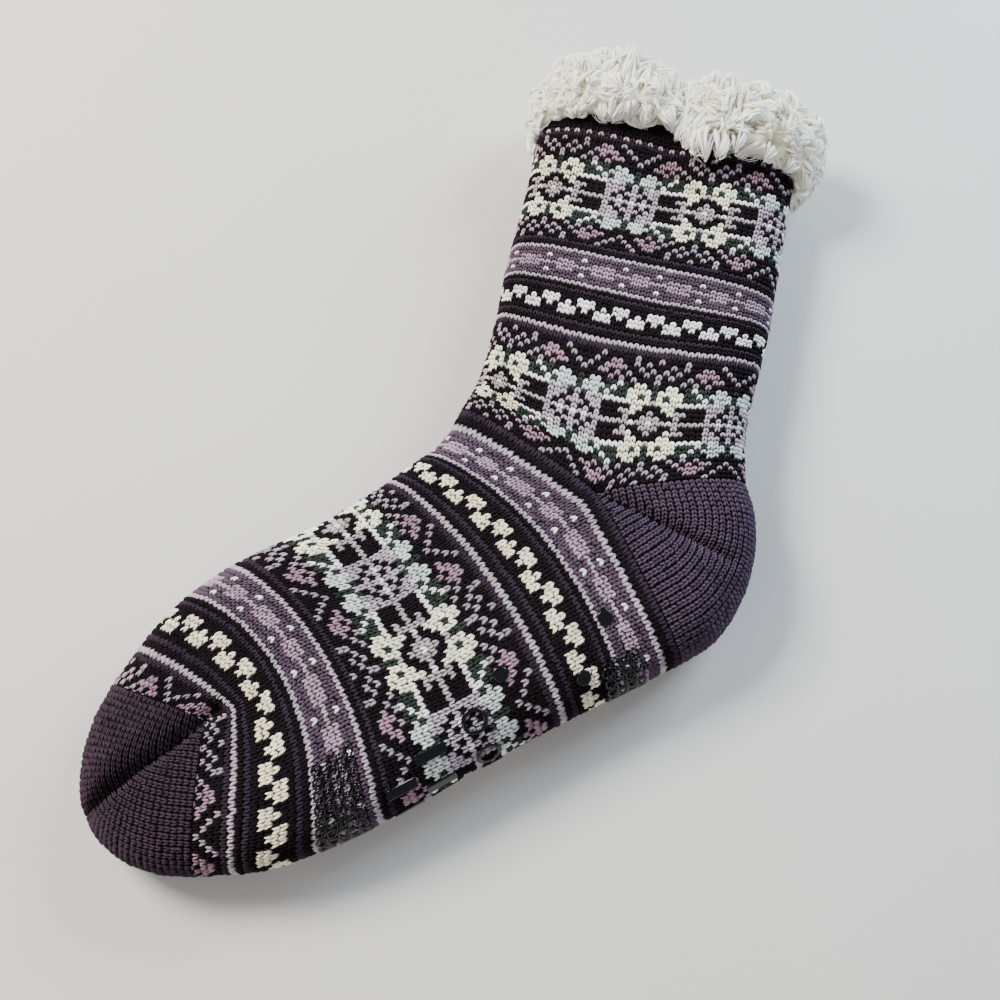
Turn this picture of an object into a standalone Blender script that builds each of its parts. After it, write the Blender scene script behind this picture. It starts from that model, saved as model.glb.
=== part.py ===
"""A slipper sock lying on its side: knitted upper, fleece cuff and rubber grip prints.

The knitted upper is one tube of courses (rounds of stitches) from the collar to the toe, with a
short-row heel pocket and a short-row toe pocket. Each course is a flattened ring, given in plan by a
front point, a side point and a back point. Metres, +Z up, the floor at Z = 0. The foot points along
-X, the leg leans up the plan towards +X and +Y.
"""
import math

import bmesh
import bpy
import numpy as np
from mathutils import Matrix

# Sizes of the knitted upper
FOOT_LENGTH = 0.256
FOOT_WIDTH = 0.100
FOOT_DEPTH = 0.040
LEG_LENGTH = 0.119
LEG_WIDTH = 0.100
LEG_DEPTH = 0.036
LEG_LEAN = math.radians(51.5)
WALL = 0.0028
COLLAR_LIFT = 0.004
GAP = 0.0003

# Where the leg's own measures start, as shares of the foot's length and width
ANKLE_ALONG = 0.110
ANKLE_ACROSS = 0.98
SOLE_START = 0.189

# Counts of stitches and courses
STITCHES = 104
HEEL_COURSE = 76
TOE_COURSE = 149
POCKET_COURSES = 36
COLLAR_LIFT_COURSES = 15
SIDES_PER_QUARTER = 10
COURSES_PER_FACET = 6
FANS_PER_POCKET = 12

# Shape of a course seen along the tube
SQUARENESS = 2.4
WAIST = 0.45
UNDERSIDE_FILL = 1.25
KINK_REACH = 16.0
HEEL_DROP = 0.10
TOE_DROP = 0.30

# Courses of the leg: course number, then how far up the leg the front, side and back points lie
# (shares of LEG_LENGTH), how far the front and back edges lie from its middle line (shares of
# LEG_WIDTH), and the depth (share of LEG_DEPTH)
LEG_COURSES = (
    (0, 1.02, 0.97, 1.00, -0.51, 0.54, 0.95),
    (18, 0.735, 0.654, 0.718, -0.50, 0.54, 1.00),
    (33, 0.491, 0.434, 0.458, -0.50, 0.54, 1.00),
    (41, 0.383, 0.318, 0.354, -0.50, 0.54, 1.00),
    (51, 0.238, 0.147, 0.218, -0.49, 0.53, 1.02),
    (64, 0.000, -0.118, -0.01, -0.49, 0.515, 1.08),
)

# Courses of the foot: course number, then front, side and back points, each as along and across
# (shares of FOOT_LENGTH from the heel and of FOOT_WIDTH from the sole), and the depth (share of
# FOOT_DEPTH)
FOOT_COURSES = (
    (76, 0.308, 1.19, 0.205, 0.62, 0.200, 0.00, 1.00),
    (83, 0.357, 1.10, 0.260, 0.58, 0.252, 0.00, 1.00),
    (92, 0.416, 1.06, 0.341, 0.56, 0.330, 0.00, 1.00),
    (110, 0.545, 1.01, 0.506, 0.52, 0.498, -0.01, 1.00),
    (129, 0.732, 0.99, 0.651, 0.52, 0.683, -0.03, 0.96),
    (138, 0.807, 0.94, 0.717, 0.49, 0.790, -0.01, 0.90),
    (149, 0.905, 0.80, 0.795, 0.50, 0.890, 0.08, 0.80),
)

# Pockets: the line where the short courses end, and the outer edge, along and across as above
HEEL_GORE = ((0.205, 0.62), (0.150, 0.44), (0.110, 0.30))
HEEL_EDGE = (
    (0.000, 0.46), (0.009, 0.36), (0.026, 0.27), (0.052, 0.18), (0.091, 0.09), (0.142, 0.02), (0.200, 0.00),
)
TOE_GORE = ((0.795, 0.50), (0.885, 0.47), (0.955, 0.445))
TOE_EDGE = (
    (0.890, 0.08), (0.935, 0.145), (0.978, 0.26), (1.000, 0.44), (0.978, 0.60), (0.942, 0.72), (0.905, 0.80),
)

# Fleece cuff: height above the knit's rim, outward bulge, thickness inside the rim, and how far it
# reaches down outside and inside the knit
CUFF_HEIGHT = 0.028
CUFF_BULGE = 0.012
CUFF_LINING = 0.0045
CUFF_SKIRT = 0.0075
CUFF_TUCK = 0.009
LOCK_LENGTH = 0.0036
LOCK_SPREAD = (0.45, 1.25)
LOCK_DIP = 0.22
LOCK_SEED = 5
LINING_LEAN = 0.20
CUFF_SIDES_PER_FACET = 2
CUFF_LINES = 19

# Outline of the cuff round the collar: stitch number, then height, bulge and skirt as shares of
# CUFF_HEIGHT, CUFF_BULGE and CUFF_SKIRT. The top side has two lobes with a cleft between them
CUFF_ROUND = (
    (0, 0.55, 0.35, 1.90),
    (6, 0.88, 0.60, 0.80),
    (15, 1.00, 0.95, 0.45),
    (23, 0.97, 0.90, 0.35),
    (28, 0.72, 0.45, 0.25),
    (32, 0.80, 0.85, 0.90),
    (40, 0.86, 1.00, 1.30),
    (48, 0.70, 0.90, 1.20),
    (53, 0.50, 0.75, 2.00),
    (60, 0.70, 0.60, 1.30),
    (78, 0.85, 0.60, 0.80),
    (96, 0.70, 0.50, 1.20),
    (104, 0.55, 0.35, 1.90),
)

# Free side of the cuff's section from inside the mouth over the top to the skirt: outward share
# (of the bulge outside, of the lining inside the rim), and height share (of the height above the
# rim, of the tuck or skirt below it)
CUFF_SECTION = (
    (-0.90, -0.85),
    (-1.00, -0.10),
    (-0.90, 0.35),
    (-0.45, 0.80),
    (0.05, 1.00),
    (0.60, 0.90),
    (0.92, 0.62),
    (1.00, 0.25),
    (0.85, -0.35),
    (0.55, -0.90),
)

# Grip prints, in course and stitch numbers: thickness and widths in metres
GRIP_THICKNESS = 0.0009
NET_PITCH = 0.0058
NET_HOLE = 0.0023
DOT_RADIUS = 0.0028
RING_RADIUS = 0.0046
RING_BAND = 0.0016
BAR_LENGTH = 0.0110
BAR_WIDTH = 0.0040
GRIP_NETS = (("front", 130.0, 48.0, 3, 8), ("heel", 86.0, 51.0, 2, 5))
GRIP_DOTS = ((86.0, 39.8), (92.5, 45.5), (102.6, 39.7))
GRIP_RINGS = ((108.5, 43.5), (108.5, 49.0), (108.5, 54.5))
GRIP_BARS = ((116.0, 44.5), (116.0, 49.5), (116.0, 54.5), (121.5, 47.0), (121.5, 52.0))

QUARTER = STITCHES / 4
WELD = 0.00002
SAMPLES = 160


def foot_place(along, across):
    """Plan points from shares of the foot's length and width."""
    x = FOOT_LENGTH * (SOLE_START - np.asarray(along, float))
    y = FOOT_WIDTH * np.asarray(across, float)
    return np.stack([x, y], axis=-1)


def leg_axis():
    """Plan directions up the leg and across it, towards its back."""
    c, s = math.cos(LEG_LEAN), math.sin(LEG_LEAN)
    return np.array([c, s]), np.array([s, -c])


def leg_place(along, across):
    """Plan points from shares of the leg's length and width."""
    up, back = leg_axis()
    ankle = foot_place(ANKLE_ALONG, ANKLE_ACROSS)
    return ankle + up * (LEG_LENGTH * along) + back * (LEG_WIDTH * across)


def unit(vectors):
    return vectors / np.linalg.norm(vectors, axis=-1, keepdims=True)


def curve_through(keys, values, at):
    """Smooth curve through values at keys, read at the places at (cubic, slopes from neighbours)."""
    keys = np.asarray(keys, float)
    values = np.asarray(values, float)
    at = np.clip(np.asarray(at, float), keys[0], keys[-1])
    slope = np.gradient(values, keys, axis=0)
    i = np.clip(np.searchsorted(keys, at, side="right") - 1, 0, len(keys) - 2)
    step = keys[i + 1] - keys[i]
    t = (at - keys[i]) / step
    if values.ndim > 1:
        t = t[..., None]
        step = step[..., None]
    start = (2 * t**3 - 3 * t**2 + 1) * values[i] + (t**3 - 2 * t**2 + t) * step * slope[i]
    end = (3 * t**2 - 2 * t**3) * values[i + 1] + (t**3 - t**2) * step * slope[i + 1]
    return start + end


def course_keys():
    """Course numbers of the tables with their front, side and back plan points and depths."""
    leg = np.array(LEG_COURSES, float)
    foot = np.array(FOOT_COURSES, float)
    number = np.concatenate([leg[:, 0], foot[:, 0]])
    leg_front = np.stack([leg_place(row[1], row[4]) for row in leg])
    leg_side = np.stack([leg_place(row[2], 0.0) for row in leg])
    leg_back = np.stack([leg_place(row[3], row[5]) for row in leg])
    front = np.concatenate([leg_front, foot_place(foot[:, 1], foot[:, 2])])
    side = np.concatenate([leg_side, foot_place(foot[:, 3], foot[:, 4])])
    depth = np.concatenate([leg[:, 6] * LEG_DEPTH, foot[:, 7] * FOOT_DEPTH])
    heel_top = foot_place(*HEEL_EDGE[0])
    leg_back = (np.append(leg[:, 0], HEEL_COURSE), np.concatenate([leg_back, heel_top[None]]))
    foot_back = (foot[:, 0], foot_place(foot[:, 5], foot[:, 6]))
    return number, front, side, depth, leg_back, foot_back


def course_frame(courses, branch):
    """Front, side and back points, tangents at the side point, depth and lift of each course.

    branch "leg" reads the back point above the heel pocket, "foot" below it. Near a pocket the
    two halves of a course meet at an angle at the side point, elsewhere they run straight through.
    """
    number, front_keys, side_keys, depth_keys, leg_back, foot_back = course_keys()
    courses = np.asarray(courses, float)
    front = curve_through(number, front_keys, courses)
    side = curve_through(number, side_keys, courses)
    depth = curve_through(number, depth_keys, courses)
    back = curve_through(*(leg_back if branch == "leg" else foot_back), courses)
    near = np.minimum(abs(courses - HEEL_COURSE), abs(courses - TOE_COURSE))
    through = np.clip(near / KINK_REACH, 0, 1)[:, None]
    through = through * through * (3 - 2 * through)
    across = unit(back - front)
    to_back = unit(through * across + (1 - through) * unit(back - side))
    to_front = unit(-through * across + (1 - through) * unit(front - side))
    lift = COLLAR_LIFT * np.clip(1 - courses / COLLAR_LIFT_COURSES, 0, 1)
    return front, side, back, to_front, to_back, depth, lift


def quarter_points(middle, edge, tangent, depth, lift, share, top):
    """Points on a quarter of each course, at shares of its arc length from middle to edge.

    In plan the quarter is an arc from middle to edge that leaves along tangent. Its height falls
    from the crown to the waist like a squared ellipse, and below the waist to the floor.
    """
    reach = np.sin(np.linspace(0, math.pi / 2, SAMPLES))[None, :, None]
    length = np.linalg.norm(edge - middle, axis=-1, keepdims=True)
    bend = (middle + tangent * length / 2)[:, None]
    plan = middle[:, None] * (1 - reach) ** 2 + 2 * bend * reach * (1 - reach) + edge[:, None] * reach**2
    crown = np.clip(1 - reach**SQUARENESS, 0, 1) ** (1 / SQUARENESS)
    waist = WAIST * depth[:, None, None]
    rise = (depth[:, None, None] - waist) * crown
    fall = waist * np.clip(UNDERSIDE_FILL * crown, 0, 1)
    height = lift[:, None, None] + waist + (rise if top else -fall)
    points = np.concatenate([plan, height], axis=-1)
    steps = np.linalg.norm(np.diff(points, axis=1), axis=-1)
    run = np.concatenate([np.zeros((len(points), 1)), np.cumsum(steps, axis=1)], axis=1)
    run = run / run[:, -1:]
    out = np.empty((len(points), len(share), 3))
    for i in range(len(points)):
        for k in range(3):
            out[i, :, k] = np.interp(share, run[i], points[i, :, k])
    return out


def tube_points(courses, stitches, branch="leg"):
    """Grid of points on the outer skin: one line per course, one column per stitch place."""
    courses = np.asarray(courses, float)
    place = np.asarray(stitches, float) % STITCHES
    front, side, back, to_front, to_back, depth, lift = course_frame(courses, branch)
    out = np.empty((len(courses), len(place), 3))
    quarters = (
        (place <= QUARTER, front, to_front, True, 1 - place / QUARTER),
        ((place > QUARTER) & (place <= 2 * QUARTER), back, to_back, True, place / QUARTER - 1),
        ((place > 2 * QUARTER) & (place <= 3 * QUARTER), back, to_back, False, 3 - place / QUARTER),
        (place > 3 * QUARTER, front, to_front, False, place / QUARTER - 3),
    )
    for chosen, edge, tangent, top, share in quarters:
        if chosen.any():
            out[:, chosen] = quarter_points(side, edge, tangent, depth, lift, share[chosen], top)
    return out


def pocket_points(fans, places, gore, edge, course, drop):
    """Grid of points on a heel or toe pocket.

    fans runs from 0 to POCKET_COURSES, and places from 0 at the upper gore line over the edge at 1
    to the lower gore line at 2.
    """
    fans = np.asarray(fans, float)
    places = np.asarray(places, float)
    half = POCKET_COURSES / 2
    shortened = 1 - abs(fans - half) / half
    start = curve_through(np.linspace(0, 1, len(gore)), foot_place(*np.array(gore).T), shortened)
    corner = foot_place(*np.array(edge).T)
    run = np.append(0, np.cumsum(np.linalg.norm(np.diff(corner, axis=0), axis=-1)))
    end = curve_through(run / run[-1], corner, fans / POCKET_COURSES)
    depth = course_frame([course], "foot")[5][0] * (1 - drop * shortened**1.5)
    lift = np.zeros(len(fans))
    top = places <= 1
    upper = quarter_points(start, end, unit(end - start), depth, lift, places[top], True)
    lower = quarter_points(start, end, unit(end - start), depth, lift, 2 - places[~top], False)
    return np.concatenate([upper, lower], axis=1)


def grid_faces(mesh, grid, closed):
    """Adds a grid of points to a bmesh as quads. closed joins the last column to the first."""
    lines, columns = grid.shape[:2]
    verts = [[mesh.verts.new(grid[i, j]) for j in range(columns)] for i in range(lines)]
    for i in range(lines - 1):
        for j in range(columns if closed else columns - 1):
            k = (j + 1) % columns
            mesh.faces.new((verts[i][j], verts[i + 1][j], verts[i + 1][k], verts[i][k]))


def weld_skin(mesh):
    """Joins patches along their shared lines and turns the skin's faces outwards."""
    bmesh.ops.remove_doubles(mesh, verts=mesh.verts, dist=WELD)
    bmesh.ops.dissolve_degenerate(mesh, edges=mesh.edges, dist=WELD)
    bmesh.ops.recalc_face_normals(mesh, faces=mesh.faces)
    highest = max(mesh.faces, key=lambda face: face.calc_center_median().z)
    if highest.normal.z < 0:
        bmesh.ops.reverse_faces(mesh, faces=mesh.faces)


def make_material(name, color, roughness, sheen=0.0):
    material = bpy.data.materials.new(name)
    material.use_nodes = True
    shader = material.node_tree.nodes["Principled BSDF"]
    shader.inputs["Base Color"].default_value = (*color, 1.0)
    shader.inputs["Roughness"].default_value = roughness
    shader.inputs["Metallic"].default_value = 0.0
    shader.inputs["Sheen Weight"].default_value = sheen
    return material


def make_object(name, mesh, material, smooth_angle=math.radians(50)):
    data = bpy.data.meshes.new(name)
    mesh.to_mesh(data)
    mesh.free()
    data.materials.append(material)
    data.shade_smooth()
    data.set_sharp_from_angle(angle=smooth_angle)
    piece = bpy.data.objects.new(name, data)
    bpy.context.scene.collection.objects.link(piece)
    return piece


def thicken(piece, thickness, side):
    """Gives a skin its thickness. side -1 keeps the skin outside, +1 keeps it inside."""
    solid = piece.modifiers.new("thickness", "SOLIDIFY")
    solid.thickness = thickness
    solid.offset = side
    solid.use_even_offset = True
    solid.use_rim = True


def facet_places():
    return np.arange(4 * SIDES_PER_QUARTER) * QUARTER / SIDES_PER_QUARTER


def facet_courses(first, last):
    count = max(2, round((last - first) / COURSES_PER_FACET) + 1)
    return np.linspace(first, last, count)


def make_upper(material):
    """The knitted upper: leg, foot, heel pocket and toe pocket in one hollow wall."""
    skin = bmesh.new()
    grid_faces(skin, tube_points(facet_courses(0, HEEL_COURSE), facet_places(), "leg"), closed=True)
    foot = tube_points(facet_courses(HEEL_COURSE, TOE_COURSE), facet_places(), "foot")
    grid_faces(skin, foot, closed=True)
    fans = np.linspace(0, POCKET_COURSES, FANS_PER_POCKET + 1)
    places = np.linspace(0, 2, 2 * SIDES_PER_QUARTER + 1)
    for gore, edge, course, drop in (
        (HEEL_GORE, HEEL_EDGE, HEEL_COURSE, HEEL_DROP),
        (TOE_GORE, TOE_EDGE, TOE_COURSE, TOE_DROP),
    ):
        grid_faces(skin, pocket_points(fans, places, gore, edge, course, drop), closed=False)
    weld_skin(skin)
    upper = make_object("knit_upper", skin, material)
    thicken(upper, WALL, -1)
    return upper


def collar_frame():
    """Facet points of the knit near its rim, with the outward direction at each place."""
    courses = facet_courses(0, HEEL_COURSE)[:3]
    rows = tube_points(courses, facet_places(), "leg")
    round_collar = np.roll(rows[0], -1, axis=0) - np.roll(rows[0], 1, axis=0)
    down = rows[1] - rows[0]
    outward = unit(np.cross(down, round_collar))
    return rows, outward


def finer(points):
    """Places CUFF_SIDES_PER_FACET columns for each facet, on the straight lines between them."""
    columns = len(points)
    at = np.arange(columns * CUFF_SIDES_PER_FACET) / CUFF_SIDES_PER_FACET
    low = np.floor(at).astype(int)
    share = (at - low)[:, None]
    return points[low] * (1 - share) + points[(low + 1) % columns] * share


def down_the_knit(rows, distance):
    """Points on the knit's facets at each place's own distance below the rim."""
    out = np.empty_like(rows[0])
    for j in range(rows.shape[1]):
        steps = np.linalg.norm(np.diff(rows[:, j], axis=0), axis=-1)
        run = np.append(0, np.cumsum(steps))
        for k in range(3):
            out[j, k] = np.interp(distance[j], run, rows[:, j, k])
    return out


def lock_lengths(lines, columns):
    """How far the fleece stands off its ground at each point: staggered locks of uneven length."""
    chance = np.random.default_rng(LOCK_SEED)
    line, column = np.meshgrid(np.arange(lines), np.arange(columns), indexing="ij")
    tip = (line % 2 == 1) & ((column + line // 2) % 2 == 0)
    length = chance.uniform(*LOCK_SPREAD, size=line.shape)
    length = np.where(tip, length, -LOCK_DIP)
    length[[0, -1]] = 0.0
    return LOCK_LENGTH * length


def make_cuff(material):
    """The fleece cuff: a ring that straddles the knit's rim, with locks raised on its free side."""
    rows, outward = collar_frame()
    columns = len(facet_places())
    table = np.array(CUFF_ROUND, float)
    shares = curve_through(table[:, 0], table[:, 1:], facet_places())
    height = CUFF_HEIGHT * shares[:, 0]
    bulge = CUFF_BULGE * shares[:, 1]
    skirt = CUFF_SKIRT * shares[:, 2]
    up = np.append(leg_axis()[0], 0.0)
    tuck = np.full(columns, CUFF_TUCK)
    inner = WALL + GAP
    slot = (
        down_the_knit(rows, skirt) + outward * GAP,
        down_the_knit(rows, skirt / 2) + outward * GAP,
        rows[0] + outward * GAP + up * GAP,
        rows[0] - outward * inner + up * GAP,
        down_the_knit(rows, tuck / 2) - outward * inner,
        down_the_knit(rows, tuck) - outward * inner,
    )
    lines = [finer(line) for line in slot]
    rim, outward = finer(rows[0]), unit(finer(outward))
    height, bulge, skirt = (finer(size[:, None]) for size in (height, bulge, skirt))
    section = curve_through(
        np.linspace(0, 1, len(CUFF_SECTION)), CUFF_SECTION, np.linspace(0, 1, CUFF_LINES)
    )
    for (out_share, up_share), lock in zip(section, lock_lengths(CUFF_LINES, len(rim))):
        outside = out_share > 0
        out = out_share * bulge if outside else out_share * CUFF_LINING - inner
        below = skirt if outside else CUFF_TUCK
        rise = up_share * (height if up_share > 0 else below)
        lean = unit(np.array([out_share if outside else LINING_LEAN * out_share, up_share]))
        lock = lock[:, None]
        lines.append(rim + outward * (out + lean[0] * lock) + up * (rise + lean[1] * lock))
    grid = np.stack(lines, axis=1)
    grid[..., 2] = np.maximum(grid[..., 2], 0.0)
    ring = bmesh.new()
    grid_faces(ring, np.concatenate([grid, grid[:1]], axis=0), closed=True)
    bmesh.ops.remove_doubles(ring, verts=ring.verts, dist=WELD)
    bmesh.ops.recalc_face_normals(ring, faces=ring.faces)
    return make_object("sherpa_cuff", ring, material)


def over_the_knit(course, stitch, points, height):
    """Lays flat points over the knit's skin round one stitch of the foot.

    points are pairs of distances in metres, along the foot towards the toe and round the foot
    towards higher stitch numbers. Each is carried out along the skin's own outward direction.
    """
    step = 0.5
    centre = tube_points([course], [stitch], "foot")[0, 0]
    along_step = np.linalg.norm(tube_points([course + step], [stitch], "foot")[0, 0] - centre) / step
    round_step = np.linalg.norm(tube_points([course], [stitch + step], "foot")[0, 0] - centre) / step
    placed = []
    for along, round_foot in points:
        c = course + along / along_step
        s = stitch + round_foot / round_step
        patch = tube_points([c - step, c, c + step], [s - step, s, s + step], "foot")
        outward = unit(np.cross(patch[2, 1] - patch[0, 1], patch[1, 2] - patch[1, 0]))
        placed.append(patch[1, 1] + outward * height)
    return placed


def polygon(radius, sides, turn=0.0):
    angle = np.arange(sides) * 2 * math.pi / sides + turn
    return np.stack([radius * np.cos(angle), radius * np.sin(angle)], axis=-1)


def band_between(outer, inner):
    """Points and quads of the flat band between two outlines with as many corners."""
    count = len(outer)
    points = np.concatenate([outer, inner])
    faces = [(i, (i + 1) % count, count + (i + 1) % count, count + i) for i in range(count)]
    return points, faces


def ring_outline():
    outer = polygon(RING_RADIUS, 16)
    return band_between(outer, outer * (1 - RING_BAND / RING_RADIUS))


def dot_outline():
    rim = polygon(DOT_RADIUS, 12)
    return band_between(rim, rim * 0.5)[0], band_between(rim, rim * 0.5)[1] + [tuple(range(12, 24))]


def bar_outline():
    along = np.linspace(-0.5, 0.5, 4) * BAR_LENGTH
    points = [(x, y) for x in along for y in (-BAR_WIDTH / 2, BAR_WIDTH / 2)]
    faces = [(2 * i, 2 * i + 2, 2 * i + 3, 2 * i + 1) for i in range(3)]
    return points, faces


def net_outline(rows, columns):
    """A net of rows by columns of six-sided meshes, each a band round its hole."""
    cell = polygon(NET_PITCH / math.sqrt(3), 6)
    points, faces = [], []
    for row in range(rows):
        for column in range(columns):
            along = (row - (rows - 1) / 2) * NET_PITCH * math.sqrt(3) / 2
            round_foot = (column - (columns - 1) / 2 + (row % 2 - 0.5) / 2) * NET_PITCH
            cell_points, cell_faces = band_between(cell, cell * NET_HOLE * math.sqrt(3) / NET_PITCH)
            faces += [tuple(i + len(points) for i in face) for face in cell_faces]
            points += [(x + along, y + round_foot) for x, y in cell_points]
    return points, faces


def make_grip(name, course, stitch, outline, material):
    """One rubber print: its outline laid over the knit's skin and thickened outwards."""
    points, faces = outline
    skin = bmesh.new()
    verts = [skin.verts.new(point) for point in over_the_knit(course, stitch, points, GAP)]
    for face in faces:
        skin.faces.new([verts[i] for i in face])
    bmesh.ops.remove_doubles(skin, verts=skin.verts, dist=WELD)
    grip = make_object(name, skin, material)
    thicken(grip, GRIP_THICKNESS, 1)
    return grip


def make_grips(material):
    grips = []
    for name, course, stitch, rows, columns in GRIP_NETS:
        grips.append(make_grip(f"grip_net_{name}", course, stitch, net_outline(rows, columns), material))
    for kind, places, outline in (
        ("dot", GRIP_DOTS, dot_outline()),
        ("ring", GRIP_RINGS, ring_outline()),
        ("bar", GRIP_BARS, bar_outline()),
    ):
        for number, (course, stitch) in enumerate(places, start=1):
            grips.append(make_grip(f"grip_{kind}_{number}", course, stitch, outline, material))
    return grips


def centre_over_origin(pieces):
    """Moves the meshes in plan so that the middle of their common box lies at the origin."""
    depsgraph = bpy.context.evaluated_depsgraph_get()
    corners = [corner[:] for piece in pieces for corner in piece.evaluated_get(depsgraph).bound_box]
    low, high = np.min(corners, axis=0), np.max(corners, axis=0)
    for piece in pieces:
        piece.data.transform(Matrix.Translation((-(low[0] + high[0]) / 2, -(low[1] + high[1]) / 2, 0.0)))


def main():
    for piece in list(bpy.data.objects):
        bpy.data.objects.remove(piece)
    knit = make_material("knit", (0.055, 0.038, 0.062), 0.92, 0.3)
    fleece = make_material("fleece", (0.80, 0.76, 0.66), 0.95, 0.4)
    rubber = make_material("grip_rubber", (0.012, 0.012, 0.013), 0.32)
    pieces = [make_upper(knit), make_cuff(fleece)] + make_grips(rubber)
    centre_over_origin(pieces)


main()
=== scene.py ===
import math

import bmesh
import bpy
import numpy as np
from mathutils import Matrix, Vector


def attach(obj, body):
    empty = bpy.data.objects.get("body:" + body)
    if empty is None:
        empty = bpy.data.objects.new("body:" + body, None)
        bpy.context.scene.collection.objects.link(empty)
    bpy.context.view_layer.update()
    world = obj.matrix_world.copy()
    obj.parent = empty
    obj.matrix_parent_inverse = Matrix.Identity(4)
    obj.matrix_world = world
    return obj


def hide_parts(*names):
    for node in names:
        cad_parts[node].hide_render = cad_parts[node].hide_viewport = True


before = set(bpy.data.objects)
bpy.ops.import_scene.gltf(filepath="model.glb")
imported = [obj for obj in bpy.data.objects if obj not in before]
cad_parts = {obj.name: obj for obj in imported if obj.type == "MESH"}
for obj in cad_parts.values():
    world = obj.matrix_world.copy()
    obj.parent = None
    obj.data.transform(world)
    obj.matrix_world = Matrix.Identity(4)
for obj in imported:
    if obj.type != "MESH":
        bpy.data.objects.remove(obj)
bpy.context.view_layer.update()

# Sizes of the knitted upper, as in the part's source, in metres
FOOT_LENGTH = 0.256
FOOT_WIDTH = 0.100
FOOT_DEPTH = 0.040
LEG_LENGTH = 0.119
LEG_WIDTH = 0.100
LEG_DEPTH = 0.036
LEG_LEAN = math.radians(51.5)
WALL = 0.0028
COLLAR_LIFT = 0.004
GAP = 0.0003
ANKLE_ALONG = 0.110
ANKLE_ACROSS = 0.98
SOLE_START = 0.189

# Where the part's origin lies from the point that the tables measure from
PLAN_SHIFT = (0.02711086, -0.11878684)

# Counts of stitches and courses
STITCHES = 104
QUARTER = STITCHES / 4
HEEL_COURSE = 76
TOE_COURSE = 149
POCKET_COURSES = 36
COLLAR_LIFT_COURSES = 15

# Shape of a course seen along the tube
SQUARENESS = 2.4
WAIST = 0.45
UNDERSIDE_FILL = 1.25
KINK_REACH = 16.0
HEEL_DROP = 0.10
TOE_DROP = 0.30
ARC_SAMPLES = 160

# Courses of the leg: course number, front, side and back shares up the leg, front and back edges
# from its middle line, depth
LEG_COURSES = (
    (0, 1.02, 0.97, 1.00, -0.51, 0.54, 0.95),
    (18, 0.735, 0.654, 0.718, -0.50, 0.54, 1.00),
    (33, 0.491, 0.434, 0.458, -0.50, 0.54, 1.00),
    (41, 0.383, 0.318, 0.354, -0.50, 0.54, 1.00),
    (51, 0.238, 0.147, 0.218, -0.49, 0.53, 1.02),
    (64, 0.000, -0.118, -0.01, -0.49, 0.515, 1.08),
)

# Courses of the foot: course number, front, side and back points along and across, depth
FOOT_COURSES = (
    (76, 0.308, 1.19, 0.205, 0.62, 0.200, 0.00, 1.00),
    (83, 0.357, 1.10, 0.260, 0.58, 0.252, 0.00, 1.00),
    (92, 0.416, 1.06, 0.341, 0.56, 0.330, 0.00, 1.00),
    (110, 0.545, 1.01, 0.506, 0.52, 0.498, -0.01, 1.00),
    (129, 0.732, 0.99, 0.651, 0.52, 0.683, -0.03, 0.96),
    (138, 0.807, 0.94, 0.717, 0.49, 0.790, -0.01, 0.90),
    (149, 0.905, 0.80, 0.795, 0.50, 0.890, 0.08, 0.80),
)

# Pockets: the line where the short courses end, and the outer edge
HEEL_GORE = ((0.205, 0.62), (0.150, 0.44), (0.110, 0.30))
HEEL_EDGE = (
    (0.000, 0.46), (0.009, 0.36), (0.026, 0.27), (0.052, 0.18),
    (0.091, 0.09), (0.142, 0.02), (0.200, 0.00),
)
TOE_GORE = ((0.795, 0.50), (0.885, 0.47), (0.955, 0.445))
TOE_EDGE = (
    (0.890, 0.08), (0.935, 0.145), (0.978, 0.26), (1.000, 0.44),
    (0.978, 0.60), (0.942, 0.72), (0.905, 0.80),
)

# Each pocket with its course and how much flatter it is at its corner
HEEL = (HEEL_GORE, HEEL_EDGE, HEEL_COURSE, HEEL_DROP)
TOE = (TOE_GORE, TOE_EDGE, TOE_COURSE, TOE_DROP)

# Fleece cuff, as in the part's source. Round: stitch, shares of height, bulge and skirt. Section:
# shares outward and up, from inside the mouth over the top to the skirt
CUFF_HEIGHT = 0.028
CUFF_BULGE = 0.012
CUFF_LINING = 0.0045
CUFF_SKIRT = 0.0075
CUFF_TUCK = 0.009
CUFF_ROUND = (
    (0, 0.55, 0.35, 1.90), (6, 0.88, 0.60, 0.80), (15, 1.00, 0.95, 0.45), (23, 0.97, 0.90, 0.35),
    (28, 0.72, 0.45, 0.25), (32, 0.80, 0.85, 0.90), (40, 0.86, 1.00, 1.30), (48, 0.70, 0.90, 1.20),
    (53, 0.50, 0.75, 2.00), (60, 0.70, 0.60, 1.30), (78, 0.85, 0.60, 0.80), (96, 0.70, 0.50, 1.20),
    (104, 0.55, 0.35, 1.90),
)
CUFF_SECTION = (
    (-0.90, -0.85), (-1.00, -0.10), (-0.90, 0.35), (-0.45, 0.80), (0.05, 1.00),
    (0.60, 0.90), (0.92, 0.62), (1.00, 0.25), (0.85, -0.35), (0.55, -0.90),
)

# Camera: place, directions in the image, lens and sensor in millimetres
CAMERA_PLACE = (-0.0513, -0.1694, 0.3950)
CAMERA_RIGHT = (0.9010, -0.4317, -0.0420)
CAMERA_UP = (0.4186, 0.8399, 0.3453)
CAMERA_LENS = 39.6
CAMERA_SENSOR = 36.0


# Form of the sock


def foot_place(along, across):
    """Plan points from shares of the foot's length and width."""
    x = FOOT_LENGTH * (SOLE_START - np.asarray(along, float)) + PLAN_SHIFT[0]
    y = FOOT_WIDTH * np.asarray(across, float) + PLAN_SHIFT[1]
    return np.stack([x, y], axis=-1)


def leg_axis():
    """Plan directions up the leg and across it, towards its back."""
    c, s = math.cos(LEG_LEAN), math.sin(LEG_LEAN)
    return np.array([c, s]), np.array([s, -c])


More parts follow.
